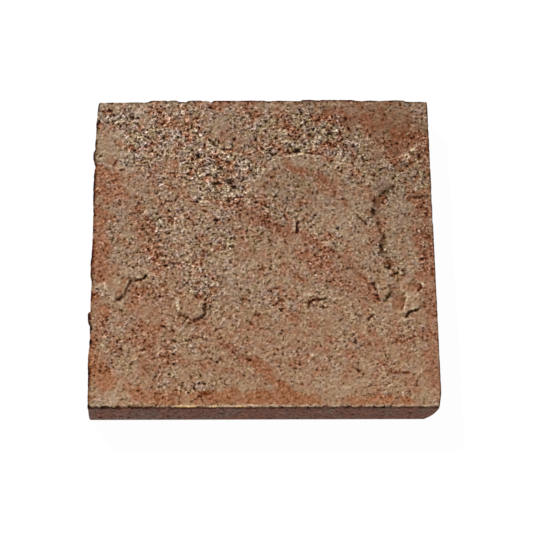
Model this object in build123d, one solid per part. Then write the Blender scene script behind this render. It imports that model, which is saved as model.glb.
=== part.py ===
from build123d import *
import math
import os

# Square cast stone hearth slab with a riven top, one solid, in millimetres.
# The origin is the centre of the underside, +Z is up and -Y is the front edge.

# The slab as cast, its thickness measured to the main bed of the riven top
SLAB_WIDTH = 482.6
SLAB_DEPTH = 482.6
SLAB_THICKNESS = 44.45

# Wear on the edges
ARRIS_RADIUS = 1.2
CORNER_RADIUS = 2.5
BACK_LEFT_CORNER_RADIUS = 4.5

# The chip out of the front right corner: how far it reaches in along the front edge
# at the underside, part of the way up and at the top
CHIP_REACH_LOW = 21.0
CHIP_REACH_BELLY = 8.5
CHIP_REACH_HIGH = 3.0
CHIP_BELLY_HEIGHT = 20.0

# The riven top: how far each broken bed lies below the main bed, or stands above it
BACK_BED_DROP = 1.6
RIGHT_BED_DROP = 2.2
LEFT_FLAKE_RISE = 2.0
SCAB_RISE = 1.6
RIGHT_FLAKE_RISE = 1.6

# The broken edge of the back bed, from the left side to the right side,
# as shares of the half width and the half depth
BACK_LEDGE = [
    (-1.00, 0.58),
    (-0.67, 0.52),
    (-0.37, 0.38),
    (-0.20, 0.29),
    (-0.13, 0.37),
    (0.04, 0.61),
    (0.24, 0.64),
    (0.46, 0.57),
    (0.66, 0.58),
    (0.86, 0.62),
    (1.00, 0.75),
]

# The broken edge of the right bed, from the right side round to the front, as the same shares
RIGHT_LEDGE = [
    (1.00, 0.355),
    (0.73, 0.345),
    (0.66, 0.28),
    (0.65, 0.20),
    (0.67, 0.11),
    (0.70, -0.02),
    (0.74, -0.14),
    (0.75, -0.27),
]
RIGHT_BED_BROKEN_AT = (0.66, 0.28)
RIGHT_BED_FEATHERS_AT = (0.90, -0.30)

# Flakes that stand above the main bed: the place of each centre as the same shares,
# and its outline, broken edge and feather edge in millimetres from that centre
LEFT_FLAKE_CENTRE = (-0.81, -0.22)
LEFT_FLAKE_OUTLINE = [
    (-13, -29),
    (0, -21),
    (3, -13),
    (10, -4),
    (11, 3),
    (24, 1),
    (33, 8),
    (24, 22),
    (-14, 26),
    (-28, 4),
]
LEFT_FLAKE_BROKEN_AT = (8, -8)
LEFT_FLAKE_FEATHERS_AT = (-16, 16)

SCAB_CENTRE = (-0.42, -0.375)
SCAB_OUTLINE = [
    (-18, -3),
    (-15, -10),
    (-5, -16),
    (2, -20),
    (11, -16),
    (19, -10),
    (18, 3),
    (6, 18),
    (-14, 18),
    (-19, 9),
]
SCAB_BROKEN_AT = (15, -10)
SCAB_FEATHERS_AT = (-21, 14)

RIGHT_FLAKE_CENTRE = (0.82, -0.33)
RIGHT_FLAKE_OUTLINE = [
    (-10, -26),
    (-3, -18),
    (8, -15),
    (14, -4),
    (9, 16),
    (-8, 22),
    (-13, 6),
    (-8, -8),
]
RIGHT_FLAKE_BROKEN_AT = (2, -17)
RIGHT_FLAKE_FEATHERS_AT = (-4, 20)

# How far a cutting shape reaches past the faces that it cuts
CUT_MARGIN = 10.0


def on_top(share):
    """The place on the slab's plan at these shares of its half width and half depth."""
    return Vector(share[0] * SLAB_WIDTH / 2, share[1] * SLAB_DEPTH / 2)


def prism(outline, low, high):
    """The straight-sided solid over a closed outline, between two heights."""
    face = make_face(Polyline(*outline, close=True))
    return extrude(Pos(0, 0, low) * face, amount=high - low)


def worn_block(thickness):
    """The plain slab at this thickness, with its upright corners and top arris worn round."""
    block = Box(
        SLAB_WIDTH, SLAB_DEPTH, thickness, align=(Align.CENTER, Align.CENTER, Align.MIN)
    )
    back_left = (-SLAB_WIDTH / 2, SLAB_DEPTH / 2, thickness / 2)
    uprights = block.edges().filter_by(Axis.Z).sort_by_distance(back_left)
    block = fillet(uprights[1:], CORNER_RADIUS)
    uprights = block.edges().filter_by(Axis.Z).sort_by_distance(back_left)
    block = fillet(uprights[0], BACK_LEFT_CORNER_RADIUS)
    return fillet(block.faces().sort_by(Axis.Z)[-1].edges(), ARRIS_RADIUS)


def bed_plane(broken_at, feathers_at, step):
    """The tilted plane of a bed that is this step off the main bed where it is broken
    and level with the main bed where it feathers out."""
    broken = Vector(broken_at.X, broken_at.Y, SLAB_THICKNESS + step)
    level = Vector(feathers_at.X, feathers_at.Y, SLAB_THICKNESS)
    slope = level - broken
    along_the_break = Vector(-slope.Y, slope.X, 0)
    return Plane(origin=level, z_dir=slope.cross(along_the_break))


def main_bed():
    """All of the slab's height in front of the back ledge."""
    ledge = [on_top(share) for share in BACK_LEDGE]
    left, right = ledge[0].X - CUT_MARGIN, ledge[-1].X + CUT_MARGIN
    front = -SLAB_DEPTH / 2 - CUT_MARGIN
    outline = [(left, ledge[0].Y), *ledge, (right, ledge[-1].Y), (right, front), (left, front)]
    return prism(outline, -CUT_MARGIN, SLAB_THICKNESS + CUT_MARGIN)


def right_bed():
    """What is missing above the bed that steps down along the right side."""
    ledge = [on_top(share) for share in RIGHT_LEDGE]
    side = SLAB_WIDTH / 2 + CUT_MARGIN
    outline = [(side, ledge[0].Y), *ledge, (side, ledge[-1].Y)]
    broken, feathers = on_top(RIGHT_BED_BROKEN_AT), on_top(RIGHT_BED_FEATHERS_AT)
    missing = prism(outline, SLAB_THICKNESS - CUT_MARGIN, SLAB_THICKNESS + CUT_MARGIN)
    return split(missing, bisect_by=bed_plane(broken, feathers, -RIGHT_BED_DROP), keep=Keep.TOP)


def flake(centre_share, outline, broken_at, feathers_at, rise):
    """A thin flake that stands on the main bed at its broken edge and feathers into it behind."""
    centre = on_top(centre_share)
    placed = [centre + Vector(*point) for point in outline]
    plane = bed_plane(centre + Vector(*broken_at), centre + Vector(*feathers_at), rise)
    body = prism(placed, SLAB_THICKNESS - CUT_MARGIN, SLAB_THICKNESS + CUT_MARGIN)
    return split(body, bisect_by=plane, keep=Keep.BOTTOM)


def corner_chip():
    """What is broken off the front right corner, with a convex break from top to underside."""
    diagonal = math.sqrt(2)
    corner = Plane(
        origin=(SLAB_WIDTH / 2, -SLAB_DEPTH / 2, 0), x_dir=(1, -1, 0), z_dir=(-1, -1, 0)
    )
    low = (-CHIP_REACH_LOW / diagonal, 0)
    belly = (-CHIP_REACH_BELLY / diagonal, CHIP_BELLY_HEIGHT)
    high = (-CHIP_REACH_HIGH / diagonal, SLAB_THICKNESS)
    above, below = SLAB_THICKNESS + CUT_MARGIN, -CUT_MARGIN
    break_line = ThreePointArc(low, belly, high)
    outside = Polyline(
        high, (high[0], above), (CUT_MARGIN, above), (CUT_MARGIN, below), (low[0], below), low
    )
    face = corner * make_face(break_line + outside)
    return extrude(face, amount=2 * CHIP_REACH_LOW, both=True)


def hearth_slab():
    """The whole slab, one casting."""
    slab = worn_block(SLAB_THICKNESS - BACK_BED_DROP) + (worn_block(SLAB_THICKNESS) & main_bed())
    slab -= right_bed()
    slab += flake(
        LEFT_FLAKE_CENTRE,
        LEFT_FLAKE_OUTLINE,
        LEFT_FLAKE_BROKEN_AT,
        LEFT_FLAKE_FEATHERS_AT,
        LEFT_FLAKE_RISE,
    )
    slab += flake(SCAB_CENTRE, SCAB_OUTLINE, SCAB_BROKEN_AT, SCAB_FEATHERS_AT, SCAB_RISE)
    slab += flake(
        RIGHT_FLAKE_CENTRE,
        RIGHT_FLAKE_OUTLINE,
        RIGHT_FLAKE_BROKEN_AT,
        RIGHT_FLAKE_FEATHERS_AT,
        RIGHT_FLAKE_RISE,
    )
    return slab - corner_chip()


os.makedirs("parts", exist_ok=True)
export_step(hearth_slab(), "parts/hearth_slab.step")
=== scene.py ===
import math

import bmesh
import bpy
import numpy as np
from mathutils import Matrix, Vector, noise


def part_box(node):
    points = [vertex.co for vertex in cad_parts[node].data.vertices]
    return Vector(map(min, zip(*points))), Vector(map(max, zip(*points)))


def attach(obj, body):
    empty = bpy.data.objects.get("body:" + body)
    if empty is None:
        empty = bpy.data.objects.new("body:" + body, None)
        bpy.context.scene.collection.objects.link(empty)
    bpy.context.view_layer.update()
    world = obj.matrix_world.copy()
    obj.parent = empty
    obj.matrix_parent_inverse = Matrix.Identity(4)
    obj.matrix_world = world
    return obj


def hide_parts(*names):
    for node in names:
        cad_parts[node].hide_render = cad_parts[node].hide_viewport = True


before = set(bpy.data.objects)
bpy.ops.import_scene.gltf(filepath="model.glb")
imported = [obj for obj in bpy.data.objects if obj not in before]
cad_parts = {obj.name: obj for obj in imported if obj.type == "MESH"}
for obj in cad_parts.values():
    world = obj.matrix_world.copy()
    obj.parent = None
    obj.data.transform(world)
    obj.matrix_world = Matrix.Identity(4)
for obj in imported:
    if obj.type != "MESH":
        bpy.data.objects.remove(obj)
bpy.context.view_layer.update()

# Places and sizes on the slab are in millimetres from the centre of its underside,
# with the front edge at -Y, and are turned into metres when the mesh is written
MM = 0.001
SLAB_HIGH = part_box("hearth_slab")[1]
HALF_WIDTH = SLAB_HIGH.x / MM
HALF_DEPTH = SLAB_HIGH.y / MM
MAIN_BED = 44.45

# The blank that the relief is worked on
CELLS = 276
ARRIS = 1.4
ARRIS_STEPS = 3
SIDE_STEPS = 14
CORNER_RADIUS = 2.5
BACK_LEFT_CORNER_RADIUS = 4.5

# The chip out of the front right corner: its reach along the front edge at these heights
CHIP_HEIGHTS = (0, 10, 20, 32, 44.45)
CHIP_REACHES = (21, 13, 8.5, 5, 3)

# The back bed lies lower, behind this broken ledge
BACK_LEDGE = [
    (-241, 140), (-162, 125), (-89, 92), (-48, 70), (-31, 89), (2, 128), (14, 146), (40, 151),
    (58, 156), (82, 151), (97, 146), (111, 138), (159, 140), (200, 149), (212, 158), (226, 171),
    (241, 181),
]
BACK_BED_DROP = 1.6

# Hollows in a bed: the outline, where it breaks off, where it feathers out, the drop
# and the width of the broken edge
HOLLOWS = {
    "right bed": (
        [(260, 86), (233, 84), (214, 83), (197, 88), (182, 97), (170, 90), (158, 72), (156, 58),
         (164, 44), (160, 32), (170, 18), (165, 4), (170, -14), (178, -28), (184, -45), (181, -65),
         (260, -65)],
        (159, 68), (217, -72), 2.0, 6.0,
    ),
    "back tongue": (
        [(-78, 180), (-70, 167), (-50, 160), (-20, 157), (0, 170), (-8, 205), (-40, 222),
         (-75, 214)],
        (-70, 166), (-20, 215), 1.1, 2.0,
    ),
    "small arch": (
        [(61, -95), (64, -82), (73, -77), (90, -78), (104, -84), (115, -81), (119, -92),
         (100, -110), (75, -108)],
        (64, -80), (98, -108), 1.3, 1.5,
    ),
    "round rust": (
        [(176, -84), (178, -72), (186, -66), (192, -75), (197, -81), (195, -88), (192, -95),
         (184, -101), (178, -96)],
        (196, -82), (172, -90), 1.8, 2.0,
    ),
    "upper round rust": (
        [(202, -58), (204, -50), (212, -47), (220, -53), (221, -60), (216, -67), (206, -66)],
        (220, -56), (200, -62), 1.9, 2.0,
    ),
    "split": ([(47, 43), (46.5, 34), (45, 26), (60, 22), (64, 42)], (46, 34), (62, 32), 1.5, 1.0),
    "left nick": (
        [(-228, 92), (-222, 97), (-213, 99), (-208, 90), (-222, 84)], (-219, 98), (-217, 84), 1.0, 2.0,
    ),
}

# Flakes that stand above the main bed, each with the same five values
FLAKES = {
    "left flake": (
        [(-208, -80), (-199, -74), (-195, -70), (-194, -63), (-190, -55), (-188, -48), (-180, -47.5),
         (-172, -47), (-166, -41), (-171, -32), (-209, -27), (-221, -42), (-223, -57), (-218, -66),
         (-212, -74)],
        (-188, -60), (-225, -15), 2.2, 1.0,
    ),
    "round scab": (
        [(-119, -78), (-112, -73), (-100, -73), (-92, -80), (-86, -86), (-85, -100), (-90, -107),
         (-100, -111.5), (-106, -107), (-112, -103), (-118, -97), (-120, -90)],
        (-86, -101), (-220, -15), 2.3, 1.0,
    ),
    "right flake": (
        [(196, -106), (202, -98), (214, -95), (220, -88), (217, -80), (221, -73), (211, -69),
         (203, -65), (199, -51), (195, -52), (192, -62), (198, -78), (196, -89), (191, -99)],
        (205, -99), (228, -70), 2.6, 1.0,
    ),
    "small right flake": (
        [(160, -79), (168, -80), (177, -66), (172, -59), (159, -57), (157, -70)],
        (173, -73), (145, -66), 2.3, 1.0,
    ),
}

# Single deep pits: centre, radius and depth
PITS = [
    (-68, 104, 7, 2.8), (-48, 109, 6.5, 2.8), (-39, 82, 5, 2.6), (-50, 80, 4, 1.8), (-66, 84, 4, 2.0),
    (-25, 111, 5, 2.0), (-38, 200, 3.5, 1.6), (-30, 213, 4.5, 1.6), (-74, 173, 4, 1.8),
    (-82, 118, 4, 1.6), (-30, 98, 4, 1.6), (24, -82, 5, 1.8), (23, -95, 3, 1.5), (175, -27, 6, 2.4),
    (118, -33, 4, 1.8), (-37, -123, 3.5, 1.5), (-125, -128, 3, 1.3), (101, 194, 3.5, 1.6),
    (121, 213, 4, 1.8), (33, 157, 4.5, 1.8), (207, 134, 3, 1.4), (167, -8, 5, 1.8),
    (196, -34, 3.5, 1.8), (187, -40, 4, 1.6), (181, -43, 3, 1.5), (-100, -195, 3, 1.2),
    (131, -186, 3, 1.2), (-222, 228, 5, 1.6), (-92, 148, 4, 1.6), (156, -65, 3, 1.4),
    (176, -61, 3, 1.5), (228, -72, 3, 1.6), (-116, -103, 3, 1.6), (-108, -106, 2.5, 1.4),
    (-117, -84, 2.8, 1.6), (-115, -93, 2.8, 1.6), (165, 30, 4, 1.8), (168, 2, 4, 1.8),
    (194, -209, 3, 1.4), (199, -220, 3.5, 1.4), (145, -223, 3, 1.3), (125, -220, 3, 1.3),
    (99, -2, 4, 1.6), (-1, -34, 4, 1.4), (-55, 0, 3.5, 1.4), (-30, -79, 4, 1.6), (5, -42, 3, 1.2),
    (5, 134, 3.5, 1.6), (118, 137, 3, 1.4), (5, 106, 3, 1.4), (50, 105, 2.6, 1.2),
    (101, 111, 3, 1.2), (228, -70, 3, 1.4),
]

# Rust: each vein's line, half width and strength
RUST_VEINS = {
    "main diagonal": ([(-48, 80), (-20, 61), (5, 44), (24, 32)], 12, 0.55),
    "main diagonal, soft": ([(-40, 72), (0, 42), (40, 14), (70, -8)], 20, 0.4),
    "main diagonal, spot": ([(44, 28), (56, 22)], 9, 0.6),
    "main diagonal, join": ([(58, 20), (76, 6), (94, -2)], 8, 0.5),
    "main diagonal, upper strand": ([(92, 0), (110, -14), (128, -36), (148, -60), (156, -76)], 9, 0.75),
    "main diagonal, lower strand": ([(58, -14), (84, -30), (112, -44), (142, -66)], 17, 0.6),
    "dome": ([(14, 134), (40, 130), (62, 126), (86, 114), (104, 92), (114, 74)], 10, 0.65),
    "dome, spot": ([(76, 122), (88, 112)], 8, 0.8),
    "left": ([(-226, 124), (-205, 88), (-176, 52), (-162, 14), (-138, -22)], 19, 0.55),
    "upper left": ([(-178, 132), (-164, 112), (-150, 84), (-118, 62)], 10, 0.35),
    "left of the scab": ([(-186, -64), (-172, -88), (-158, -116), (-152, -160), (-150, -190)], 20, 0.4),
    "lower diagonal": ([(-100, -106), (-78, -132), (-50, -154), (-10, -176)], 10, 0.45),
    "lower diagonal, front": ([(-14, -174), (4, -184), (22, -208), (40, -228)], 10, 0.75),
    "right side": ([(227, 72), (225, 40), (227, 4), (231, -20), (228, -60), (227, -90)], 17, 0.85),
    "right side, low": ([(236, -100), (232, -150), (231, -212)], 13, 0.75),
    "left side": ([(-234, 124), (-229, 90), (-232, 50), (-232, 10), (-228, -44)], 14, 0.75),
    "left side, middle": ([(-238, -74), (-224, -96), (-230, -136)], 13, 0.7),
    "left side, low": ([(-238, -140), (-236, -160)], 10, 0.6),
    "back edge": ([(-74, 238), (-40, 239), (-4, 240)], 8, 0.6),
    "back right": ([(96, 236), (140, 222), (180, 205), (206, 178), (234, 160)], 30, 0.68),
    "back right, low": ([(150, 196), (176, 160), (196, 130)], 10, 0.3),
    "right recess": ([(160, 62), (160, 52), (162, 32), (168, 14)], 9, 0.25),
    "lower right line": ([(160, -175), (175, -190), (200, -191)], 3, 0.6),
}

# Ochre veins, with the same values
OCHRE_VEINS = {
    "front strip": (
        [(-172, -222), (-150, -227), (-110, -229), (-60, -228), (0, -228), (40, -232), (62, -236)],
        14, 1.1,
    ),
    "front strip, right end": ([(122, -236), (160, -233), (194, -235)], 11, 1.2),
    "lower diagonal": ([(-12, -176), (4, -186), (22, -209), (40, -228)], 10, 0.7),
    "left side": (RUST_VEINS["left side"][0], 12, 0.4),
    "left side, middle": (RUST_VEINS["left side, middle"][0], 12, 0.45),
    "front left": ([(-240, -172), (-229, -190), (-214, -206), (-198, -214)], 16, 1.05),
    "left of the scab": ([(-186, -64), (-172, -88), (-158, -116), (-152, -170)], 22, 0.4),
    "left": (RUST_VEINS["left"][0], 14, 0.3),
}

# Rust patches: centre, half length, half width, turn in degrees and strength
RUST_PATCHES = [
    (-224, -195, 22, 24, 60, 0.3), (-163, 162, 11, 14, 0, 0.6), (-131, 138, 13, 13, 0, 0.45),
    (48, 187, 13, 7, 0, 1.0), (14, 167, 16, 9, 0, 0.5), (82, 160, 24, 9, 0, 0.5),
    (-40, 185, 30, 18, 0, 0.35), (186, -84, 12, 17, 0, 0.6), (-145, 215, 20, 12, 0, 0.4),
    (-10, 228, 30, 12, 0, 0.35), (-20, 158, 24, 7, 0, 0.3), (-95, 205, 16, 12, 0, 0.3),
    (212, -57, 11, 10, 0, 0.6), (89, -142, 8, 6, 0, 0.8), (134, -139, 9, 5, -20, 0.7),
    (116, -162, 14, 9, 0, 0.6), (206, -141, 4, 8, 0, 0.5), (-66, -146, 12, 8, 0, 0.3),
    (-8, -120, 18, 12, -35, 0.5), (70, -86, 12, 8, 0, 0.4), (118, -205, 5, 8, 0, 0.4),
    (142, -162, 30, 26, 0, 0.25), (180, -145, 24, 18, 0, 0.3), (-145, -75, 26, 18, 0, 0.2),
    (-100, -182, 26, 14, 0, 0.35), (-185, -212, 14, 8, 0, 0.4), (-110, -208, 26, 12, 0, 0.35),
    (215, 180, 26, 34, 0, 0.25), (-205, 110, 26, 10, -25, 0.3), (-225, -20, 14, 22, 0, 0.3),
    (66, 94, 8, 6, 0, 0.4), (-15, -235, 70, 5, 0, 0.4), (145, -218, 20, 12, 0, 0.3),
    (178, 155, 10, 8, 0, 0.4), (155, 145, 8, 10, 0, 0.4), (20, -140, 60, 30, 0, 0.15),
    (-40, -75, 12, 8, 0, 0.35), (-70, 150, 14, 9, 0, 0.35), (120, 128, 12, 8, 0, 0.3),
    (-160, -125, 45, 65, 0, 0.22), (190, 155, 24, 6, 0, 0.35), (-158, 116, 10, 16, 0, 0.4),
    (192, 208, 26, 18, 0, 0.45),
]

# Pale patches, with the same values
PALE_PATCHES = [
    (-215, -231, 36, 14, 4, 1.1), (-200, -214, 18, 12, 40, 0.6), (-222, 172, 20, 40, 0, 0.65),
    (-30, -33, 40, 18, 0, 0.35), (190, 26, 18, 24, 0, 0.5), (95, -205, 45, 22, -15, 0.45),
    (-52, 88, 10, 10, 0, 0.6), (-85, -160, 28, 16, -20, 0.3), (-30, -206, 26, 8, -20, 0.45),
    (5, -212, 8, 8, 0, 0.4), (215, -228, 22, 10, 0, 0.5), (-130, 62, 26, 20, 0, 0.3),
    (-165, 182, 10, 8, 0, 0.5), (-62, 156, 12, 7, -25, 0.6), (-140, -195, 30, 14, 0, 0.35),
    (85, 50, 40, 16, -10, 0.3), (54, 141, 40, 10, 2, 0.5), (185, 84, 24, 9, 0, 0.3),
    (188, -30, 8, 10, 0, 0.5), (198, -110, 14, 7, 0, 0.4), (172, 28, 10, 30, 0, 0.2),
    (208, -82, 13, 15, 0, 0.2), (42, -74, 34, 6, 0, 0.5), (92, -80, 24, 7, 0, 0.4),
]

# Fresh breaks that show pale, and painted highlights on edges that face the key: the line and its half
# width
PALE_BREAKS_AND_HIGHLIGHTS = {
    "back right chip": ([(198, 149), (212, 157), (226, 171)], 2.8),
    "back right chip, branch": ([(207, 144), (211, 154)], 1.6),
    "back right dash": ([(209, 186), (215, 197)], 1.5),
    "dome, left end": ([(-11, 108), (-4, 114), (-1, 120), (0, 129), (14, 130)], 1.7),
    "pit grains": ([(-58, 86), (-50, 87)], 2.2),
    "pit grains, right": ([(-48, 95), (-43, 91), (-40, 85)], 1.9),
    "back grain": ([(-1, 160), (2, 160)], 2.2),
    "dome, top": ([(46, 149), (52, 152), (58, 156)], 2.0),
    "dome, rim": ([(14, 143), (22, 148), (40, 149), (58, 154), (74, 151), (88, 148)], 1.05),
    "dome, spots": ([(63, 151), (73, 150)], 1.6),
    "dome, right end": ([(100, 141), (114, 138)], 1.7),
    "dome, right dash": ([(112, 157), (112, 150)], 2.0),
    "back grain, middle": ([(34, 163), (31, 160)], 2.1),
    "back grain, left": ([(10, 167), (11, 164)], 1.8),
    "tongue": ([(-80, 170), (-72, 163), (-56, 158)], 2.2),
    "split": ([(44, 42), (43, 30)], 1.6),
    "scab, left": ([(-120, -97), (-119, -92)], 2.0),
    "scab, top": ([(-119, -79), (-112, -74), (-101, -73)], 1.4),
    "scab, right": ([(-87, -88), (-86, -100), (-91, -106)], 1.2),
    "right flake, left": ([(196, -101), (196, -89), (199, -78)], 1.5),
    "right flake, arm": ([(189, -60), (195, -68), (200, -77), (213, -74), (222, -64)], 1.4),
    "right flake, front": ([(199, -101), (204, -96), (214, -92)], 1.3),
    "right flake, back": ([(223, -73), (220, -84)], 1.6),
    "upper round rust": ([(203, -50), (207, -46), (214, -47), (220, -52), (224, -57)], 1.6),
    "small right flake, left": ([(158, -56), (159, -70)], 1.8),
    "small right flake, front": ([(162, -79), (168, -79)], 1.6),
    "scab, left, upper": ([(-122, -80), (-121, -88)], 2.0),
    "round rust": ([(177, -92), (177, -76), (183, -67)], 1.3),
    "pit": ([(192, -36), (193, -40)], 1.8),
    "small arch": ([(49, -71), (62, -72), (74, -73)], 2.0),
    "small arch, right": ([(96, -79), (104, -78)], 1.6),
    "left flake, left": ([(-222, -52), (-221, -60), (-214, -72), (-209, -79)], 1.5),
    "left flake, right": ([(-196, -68), (-193, -58), (-190, -50)], 1.3),
    "left flake, back": ([(-177, -44), (-171, -44)], 1.6),
}

# Painted shade along ledges and at the feet of flakes, with a few dark stain lines, lying broken: the
# line, half width and strength
LEDGE_SHADE_AND_STAIN = {
    "right recess, top": ([(161, 76), (171, 89), (181, 97)], 7, 0.15),
    "right recess, side": ([(213, 83), (236, 85)], 2.0, 0.6),
    "right recess, left": ([(160, 78), (157, 68), (156, 57)], 6, 0.1),
    "right recess, left, lower": (
        [(157, 60), (163, 47), (159, 34), (166, 26), (171, 18), (166, 6)], 3.4, 0.95,
    ),
    "right recess, low": ([(166, 6), (167, -3), (170, -13), (176, -27), (186, -41)], 3.2, 1.0),
    "back tongue": ([(-77, 178), (-71, 168), (-55, 162), (-28, 158)], 2.8, 1.2),
    "back seam": ([(62, 184), (75, 181), (85, 175), (98, 172)], 2.6, 1.2),
    "dome, top": ([(12, 152), (30, 156), (38, 157), (56, 161)], 2.8, 0.9),
    "dome, right": ([(61, 156), (78, 155), (90, 150), (98, 142)], 2.6, 1.2),
    "small arch, right": ([(92, -82), (104, -87), (113, -86)], 2.2, 0.8),
    "lower right line": ([(172, -185), (178, -190.5), (201, -191)], 2.0, 0.6),
    "lower right line, left": ([(126, -184), (135, -193)], 2.2, 0.8),
    "right of the right flake": ([(223, -74), (224, -82), (224, -90)], 2.4, 0.9),
    "small right flake, left": ([(155, -54), (156, -72), (160, -80)], 2.0, 0.8),
    "scab, left": ([(-119, -98), (-115, -104), (-108, -106)], 2.0, 0.5),
}

# Painted shadow in cracks and under flakes, and darker lines along the veins and a dark red spot, with
# the same values
CRACKS = {
    "right recess": ([(158, 60), (161, 76), (171, 89), (181, 97)], 9, 0.20),
    "split": ([(48.5, 43), (48, 34), (47, 26)], 2.4, 1.4),
    "short groove": ([(134, 52), (140, 46), (147, 39)], 2.0, 0.8),
    "left flake, front": ([(-207, -82), (-201, -77.5), (-196, -74)], 1.9, 0.7),
    "left flake, side": ([(-194, -69), (-190, -60), (-187, -51)], 1.9, 0.7),
    "left flake, back": ([(-186.5, -49), (-176, -49), (-170, -46), (-165.5, -41.5)], 1.8, 1.0),
    "scab": ([(-83.5, -87), (-82.5, -95), (-83, -102), (-87, -107)], 2.2, 1.2),
    "scab, front": ([(-87, -107), (-93, -110.5), (-99, -112.5)], 1.8, 0.35),
    "right flake": ([(214, -96), (203, -99), (197.5, -107)], 1.8, 1.0),
    "right flake, left": ([(191, -76), (196, -79), (196, -87), (193, -93)], 2.0, 0.6),
    "upper round rust": ([(219, -53), (220, -59), (216, -65)], 2.0, 0.7),
    "upper round rust, middle": ([(206, -52), (213, -52), (217, -57)], 5, 0.2),
    "small right flake": ([(178, -66), (169, -80.5)], 1.8, 0.9),
    "dark red spot": ([(-87, -222), (-76, -220)], 4.5, 0.6),
    "small arch": ([(61, -91), (63, -84), (68, -79), (86, -78)], 1.9, 0.95),
    "left vein": ([(-178, 60), (-172, 36), (-164, 18), (-148, -4)], 4, 0.16),
    "main diagonal": ([(-50, 81), (-28, 67), (-5, 50), (20, 34), (36, 26)], 4, 0.16),
    "main diagonal, middle": ([(50, 30), (58, 20), (68, 6)], 3, 0.2),
    "main diagonal, low": ([(96, 2), (112, -20), (130, -38), (156, -60)], 3.5, 0.14),
    "lower diagonal": ([(-60, -150), (-20, -171), (5, -186), (30, -212), (45, -228)], 4, 0.1),
    "right flake, top": ([(190, -47), (188, -51)], 2.2, 0.7),
    "right flake, back": ([(195, -33), (197, -37)], 2.4, 0.8),
}

# Broad shade over the stone, darker above 0 and lighter below, as patches with the same values
SHADE_PATCHES = [
    (205, 165, 80, 90, 0, 0.14), (120, 225, 80, 32, 0, 0.11), (229, 30, 14, 66, 0, 0.12),
    (30, 90, 130, 50, 0, 0.05), (-170, 185, 90, 70, 0, -0.07), (-60, 100, 50, 50, 0, -0.07),
    (180, 40, 36, 50, 0, 0.05), (110, -195, 90, 40, 0, -0.03), (-205, -215, 45, 40, 0, -0.05),
    (20, 200, 60, 40, 0, 0.05), (62, 118, 50, 32, 0, 0.06), (185, -10, 46, 90, 0, 0.03),
    (-102, -92, 15, 15, 0, 0.04), (-222, 172, 20, 38, 0, 0.05), (-165, -100, 26, 50, 0, -0.04),
    (205, 190, 40, 40, 0, 0.07), (85, 200, 70, 36, 0, 0.04),
]

# Where the stone is greyer, as patches with the same values
GREY_PATCHES = [
    (190, 60, 46, 70, 0, 0.5), (195, -10, 34, 30, 0, 0.4), (0, -62, 110, 26, 0, 0.35),
    (-218, 160, 30, 40, 0, 0.7), (110, 60, 60, 30, 0, 0.2), (-60, -100, 50, 30, 0, 0.2),
    (-150, 130, 50, 40, 0, -0.35), (-130, 210, 70, 30, 0, -0.3),
]

# Where the surface is coarse and pitted, and where it is smooth, as patches with the same values
COARSE_PATCHES = [
    (-120, 170, 100, 75, 0, 0.65), (-55, 105, 55, 45, -35, 0.7), (60, 195, 110, 45, 0, 0.5),
    (-215, 215, 30, 30, 0, 0.5), (-10, 150, 40, 30, 0, 0.4), (-120, 25, 100, 60, 0, 0.35),
    (120, 150, 60, 40, 0, 0.3), (-130, -50, 90, 40, 0, 0.3), (-210, -140, 40, 40, 0, 0.3),
    (40, -82, 60, 18, 0, 0.25), (-90, -214, 32, 13, 0, 0.55), (-100, -90, 45, 40, 0, 0.25),
    (180, -20, 30, 30, 0, 0.2), (200, 120, 45, 40, 0, 0.25), (-222, 100, 20, 24, 0, 0.15),
    (20, 60, 60, 40, 0, 0.15), (80, 0, 50, 40, 0, 0.2), (172, -66, 20, 20, 0, 0.15),
    (222, 160, 22, 34, 0, 0.3), (110, -140, 24, 20, 0, 0.25), (-140, -150, 30, 30, 0, 0.2),
    (228, 30, 14, 66, 0, 0.3), (62, 122, 44, 24, 0, 0.15), (50, 166, 46, 9, 3, 0.35),
    (112, 150, 20, 12, -40, 0.25), (-12, 132, 10, 18, -35, 0.25),
]
SMOOTH_PATCHES = [
    (-62, 199, 20, 22, 0, 0.6), (-44, 180, 28, 15, 0, 0.6), (165, 208, 50, 30, -8, 0.5),
    (-222, 175, 18, 32, 0, 0.4), (-131, 138, 14, 12, 0, 0.4), (-205, -215, 36, 28, 0, 0.3),
    (0, -224, 110, 16, 0, 0.3), (100, -215, 50, 30, 0, 0.2), (220, -200, 30, 50, 0, 0.3),
    (52, 140, 40, 11, 2, 0.4), (80, -130, 60, 30, 0, 0.15), (186, -84, 14, 18, 0, 0.3),
    (206, -78, 26, 32, 0, 0.2),
]

# How far each side stands proud: the left and right ones from front to back, the back one from the left
LEFT_PROFILE = [
    (-241, 0.5), (-195, 0.6), (-180, 1.8), (-160, 1.6), (-150, 0.2), (-115, 0.2), (-111, 3.4),
    (-100, 3.6), (-96, 0.6), (-60, 0.4), (-47, -0.5), (-43, 1.8), (-20, 2.2), (-5, 0.6), (60, 0.8),
    (95, 1.6), (125, 1.2), (132, -0.3), (140, 0.5), (146, 3.2), (156, 3.0), (164, 0.8), (200, 0.4),
    (225, -0.8), (241, -2.0),
]
BACK_PROFILE = [
    (-241, 0), (-168, 0.3), (-162, 3.3), (-126, 3.6), (-122, 1.2), (-112, 1.2), (-108, 3.5),
    (-79, 3.6), (-75, 0), (-71, 3.3), (0, 3.4), (56, 2.8), (59, 5.0), (136, 4.6), (139, 3.4),
    (207, 3.6), (210, 1.4), (241, 1.2),
]
RIGHT_PROFILE = [(-241, -3.2), (-234, -2.2), (-226, -0.8), (-218, 0), (241, 0)]

# Noise in the relief: the size of its waves and its seed
WAVE = (95, 1)
RIPPLE = (26, 2)
LUMP = (13, 3)
PIT = (8.5, 4)
SAND = (5.5, 5)
SEED_STEP = (13.7, 7.9, 31.3)

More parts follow.
